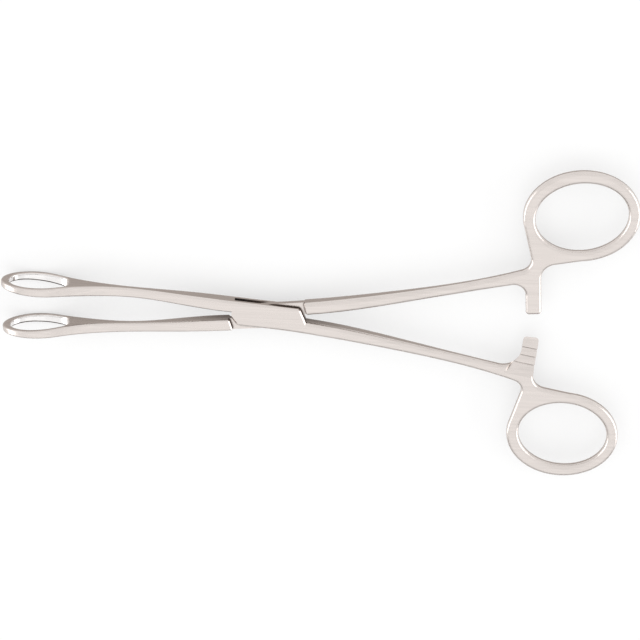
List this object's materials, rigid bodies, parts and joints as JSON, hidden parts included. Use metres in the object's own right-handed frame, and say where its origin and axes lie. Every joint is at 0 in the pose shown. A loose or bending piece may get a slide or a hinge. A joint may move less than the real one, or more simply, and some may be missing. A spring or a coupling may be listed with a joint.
{
  "type": "sponge holding forceps",
  "caption": "Hinged ring-handled forceps with windowed oval jaws, a pinned box lock and a toothed ratchet, for holding a folded swab.",
  "frame": {"origin": "lock pin's axis at the flat back face of the box lock", "axes": "+X towards the finger rings, +Y across the handles towards the inner half's ring, +Z along the lock pin towards the front"},
  "size_m": [0.1754, 0.0958, 0.0115],
  "materials": {
    "satin_steel": "satin"
  },
  "bodies": {
    "outer_half": {"female_half": "satin_steel", "lock_pin": "satin_steel"},
    "inner_half": {"male_half": "satin_steel"}
  },
  "joints": [
    {"name": "box_lock", "type": "hinge", "parent": "outer_half", "child": "inner_half", "pos_m": [0, 0, 0.00195], "axis": [0, 0, 1], "range_deg": [-9.18, 50]}
  ]
}
